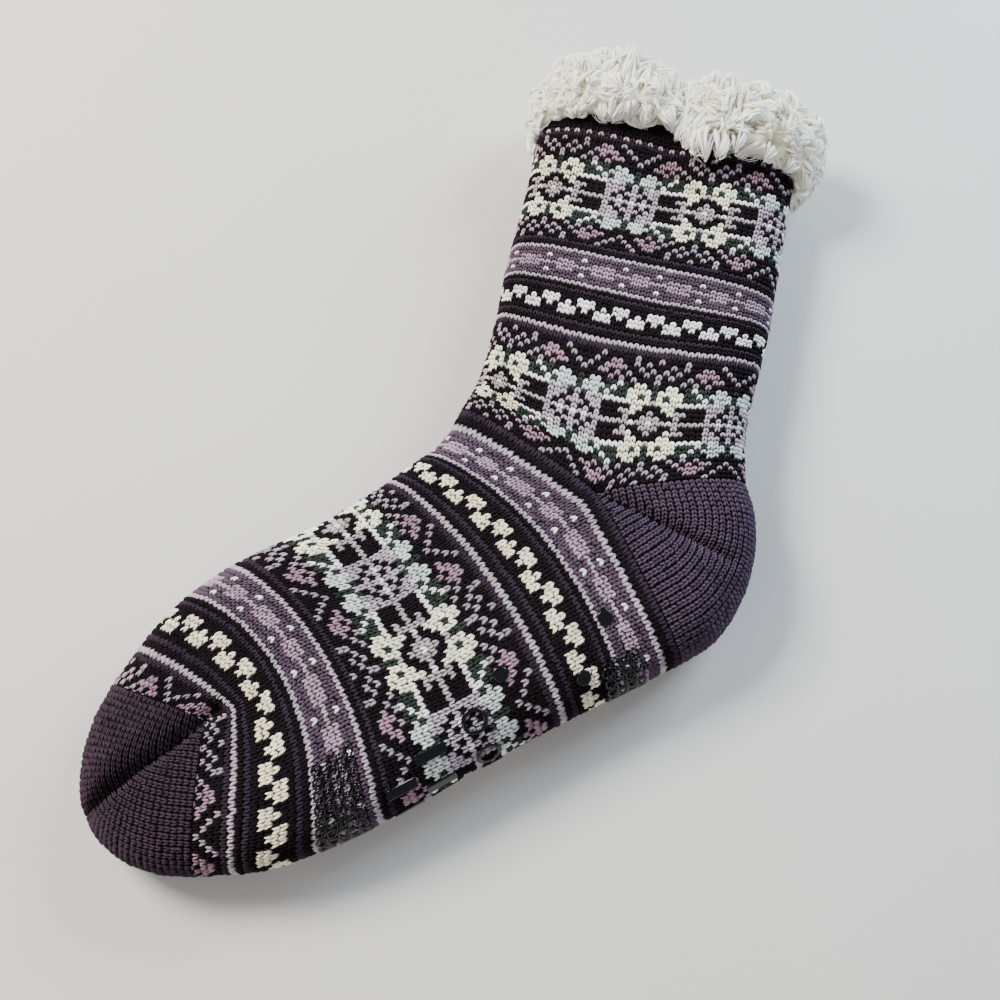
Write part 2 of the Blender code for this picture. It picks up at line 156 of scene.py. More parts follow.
def leg_place(along, across):
    """Plan points from shares of the leg's length and width."""
    up, back = leg_axis()
    along = LEG_LENGTH * np.asarray(along, float)[..., None]
    across = LEG_WIDTH * np.asarray(across, float)[..., None]
    return foot_place(ANKLE_ALONG, ANKLE_ACROSS) + up * along + back * across


def unit(vectors):
    return vectors / np.linalg.norm(vectors, axis=-1, keepdims=True)


def every_pair(first, second):
    """Flat arrays of every pair of a value of first with one of second."""
    one, other = np.meshgrid(first, second, indexing="ij")
    return one.ravel(), other.ravel()


def keep_above(points, least=0.0):
    """Raises each point that lies lower than least to it."""
    points[..., 2] = np.maximum(points[..., 2], least)


def smooth_step(low, high, value):
    """0 below low, 1 above high, and 3t^2 - 2t^3 between."""
    t = np.clip((value - low) / (high - low), 0.0, 1.0)
    return t * t * (3.0 - 2.0 * t)


def curve_through(keys, values, at):
    """Smooth curve through values at keys, read at the places at (cubic, slopes from neighbours)."""
    keys = np.asarray(keys, float)
    values = np.asarray(values, float)
    at = np.clip(np.asarray(at, float), keys[0], keys[-1])
    slope = np.gradient(values, keys, axis=0)
    i = np.clip(np.searchsorted(keys, at, side="right") - 1, 0, len(keys) - 2)
    step = keys[i + 1] - keys[i]
    t = (at - keys[i]) / step
    if values.ndim > 1:
        t = t[..., None]
        step = step[..., None]
    start = (2 * t**3 - 3 * t**2 + 1) * values[i] + (t**3 - 2 * t**2 + t) * step * slope[i]
    end = (3 * t**2 - 2 * t**3) * values[i + 1] + (t**3 - t**2) * step * slope[i + 1]
    return start + end


def course_keys():
    """Course numbers of the tables with their front, side and back plan points and depths."""
    leg = np.array(LEG_COURSES, float)
    foot = np.array(FOOT_COURSES, float)
    number = np.concatenate([leg[:, 0], foot[:, 0]])
    front = np.concatenate([leg_place(leg[:, 1], leg[:, 4]), foot_place(foot[:, 1], foot[:, 2])])
    side = np.concatenate([leg_place(leg[:, 2], 0.0), foot_place(foot[:, 3], foot[:, 4])])
    depth = np.concatenate([leg[:, 6] * LEG_DEPTH, foot[:, 7] * FOOT_DEPTH])
    back = np.concatenate([leg_place(leg[:, 3], leg[:, 5]), foot_place(*HEEL_EDGE[0])[None]])
    leg_back = (np.append(leg[:, 0], HEEL_COURSE), back)
    foot_back = (foot[:, 0], foot_place(foot[:, 5], foot[:, 6]))
    return number, front, side, depth, leg_back, foot_back


def course_frame(courses, branch):
    """Front, side and back points, tangents at the side point, depth and lift of each course."""
    number, front_keys, side_keys, depth_keys, leg_back, foot_back = course_keys()
    courses = np.asarray(courses, float)
    front = curve_through(number, front_keys, courses)
    side = curve_through(number, side_keys, courses)
    depth = curve_through(number, depth_keys, courses)
    back = curve_through(*(leg_back if branch == "leg" else foot_back), courses)
    near = np.minimum(abs(courses - HEEL_COURSE), abs(courses - TOE_COURSE))
    through = smooth_step(0.0, KINK_REACH, near)[:, None]
    across = unit(back - front)
    to_back = unit(through * across + (1 - through) * unit(back - side))
    to_front = unit(-through * across + (1 - through) * unit(front - side))
    lift = COLLAR_LIFT * np.clip(1 - courses / COLLAR_LIFT_COURSES, 0, 1)
    return front, side, back, to_front, to_back, depth, lift


def quarter_points(middle, edge, tangent, depth, lift, share, top):
    """Points on a quarter of each course, at shares of its arc length from middle to edge.

    In plan the quarter is an arc from middle to edge that leaves along tangent. Its height falls
    from the crown to the waist like a squared ellipse, and below the waist to the floor.
    """
    reach = np.sin(np.linspace(0, math.pi / 2, ARC_SAMPLES))[None, :, None]
    length = np.linalg.norm(edge - middle, axis=-1, keepdims=True)
    bend = (middle + tangent * length / 2)[:, None]
    plan = middle[:, None] * (1 - reach) ** 2 + 2 * bend * reach * (1 - reach) + edge[:, None] * reach**2
    crown = np.clip(1 - reach**SQUARENESS, 0, 1) ** (1 / SQUARENESS)
    waist = WAIST * depth[:, None, None]
    rise = (depth[:, None, None] - waist) * crown
    fall = waist * np.clip(UNDERSIDE_FILL * crown, 0, 1)
    height = lift[:, None, None] + waist + (rise if top else -fall)
    points = np.concatenate([plan, height], axis=-1)
    steps = np.linalg.norm(np.diff(points, axis=1), axis=-1)
    run = np.concatenate([np.zeros((len(points), 1)), np.cumsum(steps, axis=1)], axis=1)
    run = run / run[:, -1:]
    low = np.clip((run[:, None, :] <= share[None, :, None]).sum(axis=-1) - 1, 0, ARC_SAMPLES - 2)
    start = np.take_along_axis(run, low, axis=1)
    part = (share[None, :] - start) / (np.take_along_axis(run, low + 1, axis=1) - start)
    near = np.take_along_axis(points, low[..., None], axis=1)
    far = np.take_along_axis(points, low[..., None] + 1, axis=1)
    return near + (far - near) * part[..., None]


def tube_points(courses, stitches, branch):
    """Grid of points on the outer skin: one line per course, one column per stitch place."""
    courses = np.asarray(courses, float)
    place = np.asarray(stitches, float) % STITCHES
    front, side, back, to_front, to_back, depth, lift = course_frame(courses, branch)
    out = np.empty((len(courses), len(place), 3))
    quarters = (
        (place <= QUARTER, front, to_front, True, 1 - place / QUARTER),
        ((place > QUARTER) & (place <= 2 * QUARTER), back, to_back, True, place / QUARTER - 1),
        ((place > 2 * QUARTER) & (place <= 3 * QUARTER), back, to_back, False, 3 - place / QUARTER),
        (place > 3 * QUARTER, front, to_front, False, place / QUARTER - 3),
    )
    for chosen, edge, tangent, top, share in quarters:
        if chosen.any():
            out[:, chosen] = quarter_points(side, edge, tangent, depth, lift, share[chosen], top)
    return out


def pocket_points(fans, places, gore, edge, course, drop):
    """Grid of points on a heel or toe pocket.

    fans runs from 0 to POCKET_COURSES, and places from 0 at the upper gore line over the edge at 1
    to the lower gore line at 2.
    """
    fans = np.asarray(fans, float)
    places = np.asarray(places, float)
    half = POCKET_COURSES / 2
    shortened = 1 - abs(fans - half) / half
    start = curve_through(np.linspace(0, 1, len(gore)), foot_place(*np.array(gore).T), shortened)
    corner = foot_place(*np.array(edge).T)
    run = np.append(0, np.cumsum(np.linalg.norm(np.diff(corner, axis=0), axis=-1)))
    end = curve_through(run / run[-1], corner, fans / POCKET_COURSES)
    depth = course_frame([course], "foot")[5][0] * (1 - drop * shortened**1.5)
    lift = np.zeros(len(fans))
    top = places <= 1
    upper = quarter_points(start, end, unit(end - start), depth, lift, places[top], True)
    lower = quarter_points(start, end, unit(end - start), depth, lift, 2 - places[~top], False)
    return np.concatenate([upper, lower], axis=1)


# Folds: a line of plan points (shares along and across the foot, or up and across the leg), then
# depth (a trough below zero, a ridge above) and half width in metres
FOOT_FOLDS = (
    (((0.205, 0.62), (0.150, 0.44), (0.110, 0.30), (0.085, 0.22)), -0.0024, 0.0026),
    (((0.235, 0.58), (0.180, 0.40), (0.135, 0.25)), 0.0008, 0.0060),
    (((0.775, 0.52), (0.840, 0.485), (0.885, 0.47), (0.955, 0.445), (0.990, 0.42)), -0.0042, 0.0026),
    (((0.800, 0.44), (0.880, 0.41), (0.950, 0.39)), 0.0012, 0.0055),
    (((0.820, 0.58), (0.885, 0.55), (0.940, 0.52)), 0.0012, 0.0055),
    (((0.845, 0.50), (0.862, 0.44), (0.868, 0.39)), -0.0013, 0.0026),
    (((0.330, 1.12), (0.300, 0.98), (0.270, 0.84)), -0.0014, 0.0075),
    (((0.395, 1.02), (0.360, 0.88), (0.330, 0.74)), 0.0010, 0.0100),
    (((0.560, 0.92), (0.540, 0.70), (0.545, 0.50)), -0.0008, 0.0120),
    (((0.640, 0.30), (0.560, 0.22), (0.470, 0.20)), -0.0009, 0.0110),
)
LEG_FOLDS = (
    (((0.99, 0.08), (0.90, 0.06), (0.80, 0.03)), -0.0022, 0.0090),
    (((0.97, -0.25), (0.88, -0.24), (0.78, -0.20)), 0.0010, 0.0140),
    (((0.97, 0.30), (0.86, 0.30), (0.74, 0.26)), 0.0010, 0.0140),
    (((0.66, -0.46), (0.60, -0.30), (0.56, -0.12)), -0.0009, 0.0090),
    (((0.42, 0.48), (0.36, 0.30), (0.33, 0.12)), -0.0010, 0.0090),
    (((0.22, -0.45), (0.14, -0.28), (0.06, -0.10)), -0.0013, 0.0080),
    (((0.14, 0.46), (0.06, 0.28), (-0.02, 0.10)), -0.0009, 0.0090),
)
FOLD_START = 0.0044
FOLD_TOP = 0.022


def far_from_line(plan, line):
    """Distance of each plan point from a line of straight pieces, the least over the pieces."""
    least = np.full(plan.shape[:-1], np.inf)
    for start, end in zip(line[:-1], line[1:]):
        along = end - start
        share = np.clip(((plan - start) @ along) / (along @ along), 0.0, 1.0)
        foot = start + share[..., None] * along
        least = np.minimum(least, np.linalg.norm(plan - foot, axis=-1))
    return least


def fold(points):
    """Adds the folds: each one lowers or raises the upper side by depth * exp(-(distance/width)^2)."""
    rise = np.zeros(points.shape[:-1])
    for table, place in ((FOOT_FOLDS, foot_place), (LEG_FOLDS, leg_place)):
        for line, depth, width in table:
            far = far_from_line(points[..., :2], place(*np.array(line).T))
            rise += depth * np.exp(-((far / width) ** 2))
    out = points.copy()
    out[..., 2] += rise * smooth_step(FOLD_START, FOLD_TOP, points[..., 2])
    return out


def skin_of(points):
    """A grid of points with its folds, and outward directions: the cross product of its two slopes."""
    folded = fold(points)
    down = np.gradient(folded, axis=0)
    across = np.gradient(folded, axis=1)
    normal = np.cross(down, across)
    size = np.linalg.norm(normal, axis=-1, keepdims=True)
    return folded, normal / np.maximum(size, 1e-12)


SKIN_STEP = 0.5
POCKET_PLACES = 121
LAST_CELL = 1.0001


def on_skin(skin, line, column):
    """Points and outward directions at fractional places of a grid, straight between its points.

    Places past the grid's end are held just inside its last cell.
    """
    points, normals = skin
    line = np.clip(line, 0.0, points.shape[0] - LAST_CELL)
    column = np.clip(column, 0.0, points.shape[1] - LAST_CELL)
    i, j = np.floor(line).astype(int), np.floor(column).astype(int)
    a, b = (line - i)[..., None], (column - j)[..., None]
    found = []
    for values in (points, normals):
        upper = values[i, j] * (1 - b) + values[i, j + 1] * b
        lower = values[i + 1, j] * (1 - b) + values[i + 1, j + 1] * b
        found.append(upper * (1 - a) + lower * a)
    return found[0], unit(found[1])


def tube_skin(first, last, branch):
    """Skin of the tube between two courses, a line every half course and a column every half stitch."""
    courses = np.arange(first, last + SKIN_STEP / 2, SKIN_STEP)
    places = np.arange(0, STITCHES + SKIN_STEP / 2, SKIN_STEP)
    return skin_of(tube_points(courses, places, branch))


def pocket_skin(gore, edge, course, drop):
    """Skin of a pocket, a line every half short course."""
    fans = np.arange(0, POCKET_COURSES + SKIN_STEP / 2, SKIN_STEP)
    return skin_of(pocket_points(fans, np.linspace(0, 2, POCKET_PLACES), gore, edge, course, drop))


# Knitting chart. One quarter of a flower, rows from its middle outwards and stitches from its
# middle to the middle of the lattice beside it
FLOWER = (
    "WSSWSSSSSLLWLW",
    "SSkkSkkkkLkLkL",
    "SkkCSSkkkLLkLL",
    "kkCCkkkkkLLLkL",
    "SCCCCWWWWLMLgL",
    "gCgCCgggWgMMMg",
    "gCCCCggWgMMMMg",
    "gkCCkgWggkMMkg",
    "DkkkDkDkRkkkkk",
    "DkDkkDkRkRRkkD",
    "kDkDkkRRRRkkDk",
    "kkDkDkkRRkkDkk",
    "DkkkDkkkkkDkkk",
)
HEARTS = ("WWW...", "WWW.W.", ".W.WWW", "...WWW")
REPEAT_ROWS = 48
REPEAT_STITCHES = 26
FLOWER_MIDDLE = 8
FLOWER_REACH = len(FLOWER) - 1
RIBBON_ROWS = (16, 22)
HEART_ROW = 27
CHECK_ROW = 34
RIBBON_DOTS = (4, 11, 17, 24)
PLAIN_ROWS = {13: "P", 15: "L", 23: "L", 25: "P", 32: "P", 35: "P"}
COLLAR_ROWS = {-14: "LP", -13: "PP"}
FIRST_ROW = -19
HEEL_ROW = 61
TOE_ROW = 136

# Yarn colours by chart letter, linear
YARNS = {
    "k": (0.0070, 0.0032, 0.0050),
    "P": (0.031, 0.0175, 0.031),
    "V": (0.093, 0.060, 0.087),
    "L": (0.450, 0.370, 0.425),
    "O": (0.390, 0.275, 0.340),
    "W": (0.900, 0.870, 0.850),
    "C": (0.940, 0.910, 0.700),
    "M": (0.640, 0.690, 0.660),
    "g": (0.026, 0.035, 0.029),
    "R": (0.350, 0.215, 0.275),
    "S": (0.440, 0.365, 0.375),
    "D": (0.355, 0.285, 0.330),
    "H": (0.061, 0.043, 0.063),
    "E": (0.930, 0.840, 0.640),
}

# Where the middles of knitted rows lie on the sock: row, course
ROW_PLACES = (
    (-20, -0.4), (-14, 5.4), (-12, 6.9), (0, 18.6), (12, 30.5), (15, 33.5), (19, 37.5), (23, 41.4),
    (27, 45.0), (30, 47.9), (34, 51.6), (36, 53.75), (48, 64.65), (60.5, 76.0), (63, 79.7), (65, 82.0),
    (67, 83.7), (71, 87.2), (73, 88.8), (75, 90.7), (78, 93.3), (80, 95.0), (82, 97.0), (84, 99.1),
    (96, 110.2), (108, 122.4), (111, 125.4), (137, 150.2),
)

# How many stitches the pattern leans back towards the instep: course, then at each stitch number.
# Before the first course and after the last it stays the same
LEAN_STITCHES = (0, 10, 22, 34, 46, 78, 104)
PATTERN_LEAN = (
    (18, -0.5, -0.5, -1.8, -0.5, -0.5, -0.5, -0.5),
    (37, 0.2, 0.2, -0.1, 0.7, 0.9, 0.5, 0.2),
    (64, 0.5, 0.5, 0.1, 1.8, 2.0, 1.2, 0.5),
    (76, 0.9, 1.0, 1.6, 3.6, 3.0, 1.8, 0.9),
    (84, 1.4, 1.5, 2.6, 4.6, 3.5, 2.4, 1.4),
    (92, 1.5, 1.6, 2.6, 3.6, 3.4, 2.4, 1.5),
    (110, 1.3, 1.3, 1.6, 2.6, 3.0, 2.2, 1.3),
    (129, 4.0, 4.0, 4.0, 4.0, 4.0, 4.0, 4.0),
)


def ribbon_row(step):
    """One repeat of a ribbon row: dots above and below, ovals between the dots in the middle."""
    letters = ["V"] * REPEAT_STITCHES
    for dot, after in zip(RIBBON_DOTS, RIBBON_DOTS[1:] + (RIBBON_DOTS[0] + REPEAT_STITCHES,)):
        if step in (1, 5):
            letters[dot] = "W"
        if step in (2, 4):
            for place in range(dot + 2, after - 1):
                letters[place % REPEAT_STITCHES] = "O"
        if step == 3:
            for place in range(dot + 1, after):
                letters[place % REPEAT_STITCHES] = "O"
            letters[dot] = "L"
    return "".join(letters)


def repeat_row(turn):
    """One repeat of the chart's row, counted from a flower's middle row."""
    if abs(turn) <= FLOWER_REACH:
        line = FLOWER[abs(turn)]
        half = REPEAT_STITCHES // 2
        reach = abs((np.arange(REPEAT_STITCHES) - FLOWER_MIDDLE + half) % REPEAT_STITCHES - half)
        return "".join(line[step] for step in reach)
    if RIBBON_ROWS[0] <= turn <= RIBBON_ROWS[1]:
        return ribbon_row(turn - RIBBON_ROWS[0])
    if turn == CHECK_ROW:
        return "LS" * (REPEAT_STITCHES // 2)
    return PLAIN_ROWS.get(turn, "k") * REPEAT_STITCHES


def chart_row(row):
    """Yarn letters right round the sock. Hearts count in sixes, so their join lies underneath."""
    if row < min(COLLAR_ROWS):
        return "k" * STITCHES
    if row in COLLAR_ROWS:
        return COLLAR_ROWS[row] * (STITCHES // 2)
    turn = (row + FLOWER_REACH) % REPEAT_ROWS - FLOWER_REACH
    if 0 <= turn - HEART_ROW < len(HEARTS):
        heart = "E" if row > HEEL_ROW else "W"
        hearts = HEARTS[turn - HEART_ROW].replace(".", "k").replace("W", heart)
        return (hearts * (STITCHES // len(hearts) + 1))[:STITCHES]
    return repeat_row(turn) * (STITCHES // REPEAT_STITCHES)


def yarn_colours(letters):
    """Array of colours for an array of chart letters."""
    table = np.zeros((128, 3))
    for letter, colour in YARNS.items():
        table[ord(letter)] = colour
    return table[letters]


# One knitted stitch: two plump legs in a V, each a closed lozenge of two tips and two ridged
# stations. Across and down are in stitches and rows, height in metres
LOOP_ACROSS = (0.05, 0.17, 0.34, 0.41)
POCKET_ACROSS = (0.04, 0.13, 0.25, 0.30)
LOOP_DOWN = (-0.66, -0.24, 0.30, 0.74)
LOOP_SLANT = 0.10
LOOP_HALF = 0.275
POCKET_HALF = 0.215
LOOP_RIDGE = (0.00056, 0.00062)
LOOP_FOOT = -0.00030
LOOP_TIPS = (-0.00012, -0.00020)
LOOP_FACES = (
    (0, 1, 2), (0, 2, 3), (0, 3, 1), (1, 4, 5), (1, 5, 2), (2, 5, 6), (2, 6, 3), (3, 6, 4), (3, 4, 1),
    (4, 7, 5), (5, 7, 6), (6, 7, 4),
)


def stitch_template(loop_across, half):
    """Across, down and height of a stitch's sixteen corners, its faces, and each corner's yarn place."""
    corners = []
    for side in (-1, 1):
        corners.append((side * loop_across[0], LOOP_DOWN[0], LOOP_TIPS[0], 0.5, 0.0))
        for station in (1, 2):
            for edge in (-1, 0, 1):
                across = side * loop_across[station] + edge * half
                down = LOOP_DOWN[station] - LOOP_SLANT * side * edge
                height = LOOP_FOOT if edge else LOOP_RIDGE[station - 1]
                corners.append((across, down, height, 0.5 + 0.5 * edge * side, station / 3))
        corners.append((side * loop_across[3], LOOP_DOWN[3], LOOP_TIPS[1], 0.5, 1.0))
    corners = np.array(corners)
    faces = np.array(LOOP_FACES)
    faces = np.concatenate([faces, faces + faces.max() + 1])
    return *corners.T[:3], faces, corners[:, 3:]


def add_object(name, data):
    made = bpy.data.objects.new(name, data)
    bpy.context.scene.collection.objects.link(made)
    return made


def new_piece(name, points, faces, materials):
    """A mesh object from arrays of points and faces of one size, with its materials."""
    data = bpy.data.meshes.new(name)
    corners = faces.shape[1]
    data.vertices.add(len(points))
    data.vertices.foreach_set("co", points.astype(np.float32).ravel())
    data.loops.add(faces.size)
    data.loops.foreach_set("vertex_index", faces.astype(np.int32).ravel())
    data.polygons.add(len(faces))
    data.polygons.foreach_set("loop_start", np.arange(0, faces.size, corners, dtype=np.int32))
    data.update(calc_edges=True)
    data.shade_smooth()
    for material in materials:
        data.materials.append(material)
    return add_object(name, data)


def paint(piece, name, colours):
    """Stores a colour for each point as the attribute that the material reads."""
    layer = piece.data.attributes.new(name, "FLOAT_COLOR", "POINT")
    shades = np.ones((len(colours), 4), np.float32)
    shades[:, :3] = colours
    layer.data.foreach_set("color", shades.ravel())


def lay_out(piece, name, places):
    """Stores a UV map from one place for each point."""
    layer = piece.data.uv_layers.new(name=name)
    corner = np.empty(len(piece.data.loops), np.int32)
    piece.data.loops.foreach_get("vertex_index", corner)
    layer.data.foreach_set("uv", places[corner].astype(np.float32).ravel())


# How far stitches stray: along and across the knit, in plumpness and in shade
ROW_STRAY = 0.065
PLACE_STRAY = 0.045
PLUMP_STRAY = 0.15
SHADE_STRAY = 0.09
SHADE_LIMITS = (0.75, 1.25)


def knit_piece(name, stitch, skin, line, column, letters, material, tint, seed):
    """Knits one piece: every stitch of the template set on the skin at its own row and place.

    line and column give the skin's grid place for each stitch and template corner. A corner lies at
    the skin's point plus its height along the outward direction, never below the floor.
    """
    height, faces, yarn = stitch[2:]
    count = len(letters)
    chance = np.random.default_rng(seed)
    line = line + ROW_STRAY / SKIN_STEP * chance.standard_normal((count, 1))
    column = column + PLACE_STRAY / SKIN_STEP * chance.standard_normal((count, 1))
    points, normals = on_skin(skin, line, column)
    plump = 1 + PLUMP_STRAY * chance.standard_normal((count, 1))
    points = points + normals * (height[None, :] * plump)[..., None]
    keep_above(points)
    faces = repeat_faces(faces, len(height), count)
    piece = new_piece(name, points.reshape(-1, 3), faces, [material])
    shade = 1 + SHADE_STRAY * chance.standard_normal((count, 1))
    colours = yarn_colours(letters) * np.clip(shade, *SHADE_LIMITS) * tint
    paint(piece, "yarn", np.repeat(colours, len(height), axis=0))
    offset = chance.uniform(0, 1, (count, 1, 1)) * np.array([0.0, 1.0])
    lay_out(piece, "yarn_run", (yarn[None] + offset).reshape(-1, 2))
    return piece


def course_of(row):
    """Course at a fractional row, straight between the placed rows."""
    places = np.array(ROW_PLACES, float)
    return np.interp(row, places[:, 0], places[:, 1])


def lean_of(course, stitch):
    """The pattern's lean at a course and a stitch number, straight between the table's values."""
    table = np.array(PATTERN_LEAN, float)
    wide = np.stack([np.interp(course, table[:, 0], table[:, 1 + k]) for k in range(len(LEAN_STITCHES))])
    keys = np.array(LEAN_STITCHES, float)
    k = np.clip(np.searchsorted(keys, stitch, side="right") - 1, 0, len(keys) - 2)
    share = (stitch - keys[k]) / (keys[k + 1] - keys[k])
    low = np.take_along_axis(wide, k[None], axis=0)[0]
    high = np.take_along_axis(wide, k[None] + 1, axis=0)[0]
    return low + (high - low) * share


def knit_tube(name, skin, first, last, start_course, material, seed):
    """Knits the rows from first to last of the leg or foot from the chart."""
    rows = np.arange(first, last + 1)
    row, column = every_pair(rows, np.arange(STITCHES))
    letters = np.array([[ord(letter) for letter in chart_row(r)] for r in rows]).ravel()
    course = course_of(row[:, None] + STITCH[1][None])
    across = column[:, None] + 0.5 + STITCH[0][None]
    stitch = (across - lean_of(course, across % STITCHES)) % STITCHES
    line = (course - start_course) / SKIN_STEP
    return knit_piece(name, STITCH, skin, line, stitch / SKIN_STEP, letters, material, 1.0, seed)


POCKET_ROWS = 38
POCKET_SHORTEST = 11
# Heel and toe are knit in the one plum yarn H, tinted apart: the heel lighter and bluer, painted light,
# and the toe darker and browner, painted shade
HEEL_LIGHT_TINT = (1.22, 1.12, 1.24)
TOE_SHADE_TINT = (0.72, 0.62, 0.62)


def row_reach(fan):
    """Stitches from edge to gore: QUARTER at both ends, POCKET_SHORTEST halfway, straight between."""
    half = POCKET_COURSES / 2
    return QUARTER - (QUARTER - POCKET_SHORTEST) * (1 - abs(fan - half) / half)


def knit_pocket(name, skin, material, tint, seed):
    """Knits a pocket in short rows: each row ends at the gore, its stitches counted from the edge."""
    row, count = every_pair(np.arange(POCKET_ROWS), np.arange(-QUARTER, QUARTER) + 0.5)
    kept = abs(count) < row_reach(POCKET_COURSES * (row + 0.5) / POCKET_ROWS)
    row, count = row[kept], count[kept]
    letters = np.full(len(row), ord("H"))
    fan = POCKET_COURSES * (row[:, None] + 0.5 + POCKET_STITCH[1][None]) / POCKET_ROWS
    reach = row_reach(np.clip(fan, 0, POCKET_COURSES))
    place = 1 + (count[:, None] + POCKET_STITCH[0][None]) / reach
    column = np.clip(place, 0, 2) / 2 * (POCKET_PLACES - 1)
    return knit_piece(name, POCKET_STITCH, skin, fan / SKIN_STEP, column, letters, material, tint, seed)


# Materials


def group(name, inputs, outputs):
    """A new shader node group with inputs (name, kind, value) and outputs (name, kind)."""
    tree = bpy.data.node_groups.new(name, "ShaderNodeTree")
    for label, kind, value in inputs:
        socket = tree.interface.new_socket(label, in_out="INPUT", socket_type=kind)
        socket.default_value = value
    for label, kind in outputs:
        tree.interface.new_socket(label, in_out="OUTPUT", socket_type=kind)
    return tree, tree.nodes.new("NodeGroupInput"), tree.nodes.new("NodeGroupOutput")


def node(tree, kind, links=None, **settings):
    """Adds a node with its settings. links gives its inputs by name or number, linked or set."""
    made = tree.nodes.new(kind)
    for key, value in settings.items():
        setattr(made, key, value)
    for key, value in (links or {}).items():
        if isinstance(value, bpy.types.NodeSocket):
            tree.links.new(value, made.inputs[key])
        else:
            made.inputs[key].default_value = value
    return made


def math_node(tree, operation, first, second=0.0, third=0.0):
    return node(tree, "ShaderNodeMath", {0: first, 1: second, 2: third}, operation=operation).outputs[0]


def vector_node(tree, operation, first, second, third=(0.0, 0.0, 0.0)):
    links = {0: first, 1: second, 2: third}
    return node(tree, "ShaderNodeVectorMath", links, operation=operation).outputs[0]


def noise(tree, scale, detail):
    """Noise of 0 to 1 over the piece, in Object coordinates."""
    coordinates = node(tree, "ShaderNodeTexCoord").outputs["Object"]
    links = {"Vector": coordinates, "Scale": scale, "Detail": detail}
    return node(tree, "ShaderNodeTexNoise", links).outputs["Fac"]


def spread(tree, value, low, high, first=0.0, last=1.0):
    """Turns values from first to last into values from low to high."""
    links = {"Value": value, "From Min": first, "From Max": last, "To Min": low, "To Max": high}
    return node(tree, "ShaderNodeMapRange", links).outputs[0]


def bump(tree, shader, height, strength, distance):
    links = {"Height": height, "Strength": strength, "Distance": distance}
    made = node(tree, "ShaderNodeBump", links)
    tree.links.new(made.outputs["Normal"], shader.inputs["Normal"])


def attribute(tree, name):
    return node(tree, "ShaderNodeAttribute", attribute_name=name, attribute_type="GEOMETRY").outputs


def new_material(name, constants):
    """A material with constant values on its shader's own sockets, its tree and its shader."""
    material = bpy.data.materials.new(name)
    material.use_nodes = True
    shader = material.node_tree.nodes["Principled BSDF"]
    for socket, value in constants.items():
        shader.inputs[socket].default_value = value
    return material, material.node_tree, shader


def make_ply_group():
    """Twisted yarn: slanting waves along the yarn's run for its plies, and fine noise for its hairs. Its
    Shade darkens the yarn in the grooves between the plies, painted shade, with coarser noise as a random
    tone.
    """
    tree, into, out = group("yarn_ply", [
        ("Run", "NodeSocketVector", (0.0, 0.0, 0.0)),
        ("Turns", "NodeSocketFloat", 3.0),
        ("Hair", "NodeSocketFloat", 0.3),
    ], [("Height", "NodeSocketFloat"), ("Shade", "NodeSocketFloat")])
    parts = node(tree, "ShaderNodeSeparateXYZ", {0: into.outputs["Run"]})
    turned = math_node(tree, "MULTIPLY", parts.outputs[1], into.outputs["Turns"])
    slant = math_node(tree, "ADD", turned, math_node(tree, "MULTIPLY", parts.outputs[0], 0.9))
    wave = math_node(tree, "SINE", math_node(tree, "MULTIPLY", slant, 2 * math.pi))
    ply = math_node(tree, "MULTIPLY_ADD", wave, 0.5, 0.5)
    hairs = math_node(tree, "MULTIPLY", noise(tree, 4200.0, 3.0), into.outputs["Hair"])
    groove_shade_and_tone = math_node(tree, "ADD", math_node(tree, "MULTIPLY", ply, 0.35), noise(tree, 160.0, 2.0))
    tree.links.new(math_node(tree, "ADD", ply, hairs), out.inputs["Height"])
    tree.links.new(spread(tree, groove_shade_and_tone, 0.82, 1.12, 0.3, 1.1), out.inputs["Shade"])
    return tree


def make_yarn_material(ply_group):
    """Yarn: its colour from the chart, darkened in the ply grooves as painted shade, with ply and hairs
    as bump.
    """
    constants = {"Roughness": 0.90, "Sheen Weight": 0.02, "Specular IOR Level": 0.10}
    material, tree, shader = new_material("knit_yarn", constants)
    run = node(tree, "ShaderNodeUVMap", uv_map="yarn_run").outputs["UV"]
    ply = node(tree, "ShaderNodeGroup", {"Run": run}, node_tree=ply_group)
    colour = vector_node(tree, "MULTIPLY", attribute(tree, "yarn")["Color"], ply.outputs["Shade"])
    tree.links.new(colour, shader.inputs["Base Color"])
    bump(tree, shader, ply.outputs["Height"], 0.5, 0.00018)
    return material


def make_ground_material():
    """The knit's inner face between the stitches, standing for the yarn floats behind them, near-black
    whatever the yarn above: painted shade of the gaps between the stitches.
    """
    material, tree, shader = new_material("knit_ground", {"Roughness": 0.95, "Specular IOR Level": 0.10})
    gap_mottle = noise(tree, 900.0, 3.0)
    colour = vector_node(tree, "MULTIPLY", (0.0060, 0.0036, 0.0060), spread(tree, gap_mottle, 0.5, 1.3))
    tree.links.new(colour, shader.inputs["Base Color"])
    bump(tree, shader, gap_mottle, 0.6, 0.0003)
    return material


# Fleece colours from root to tip: place, colour. The darker cream towards the roots is painted shade of
# the depths between the locks; pieces without a pile attribute, the cuff's body and the wall's lining
# faces, take the root colour, painted shade as well
FLEECE_ROOT_SHADE_RAMP = ((0.0, (0.90, 0.83, 0.66)), (0.45, (0.97, 0.935, 0.80)), (1.0, (0.99, 0.98, 0.88)))


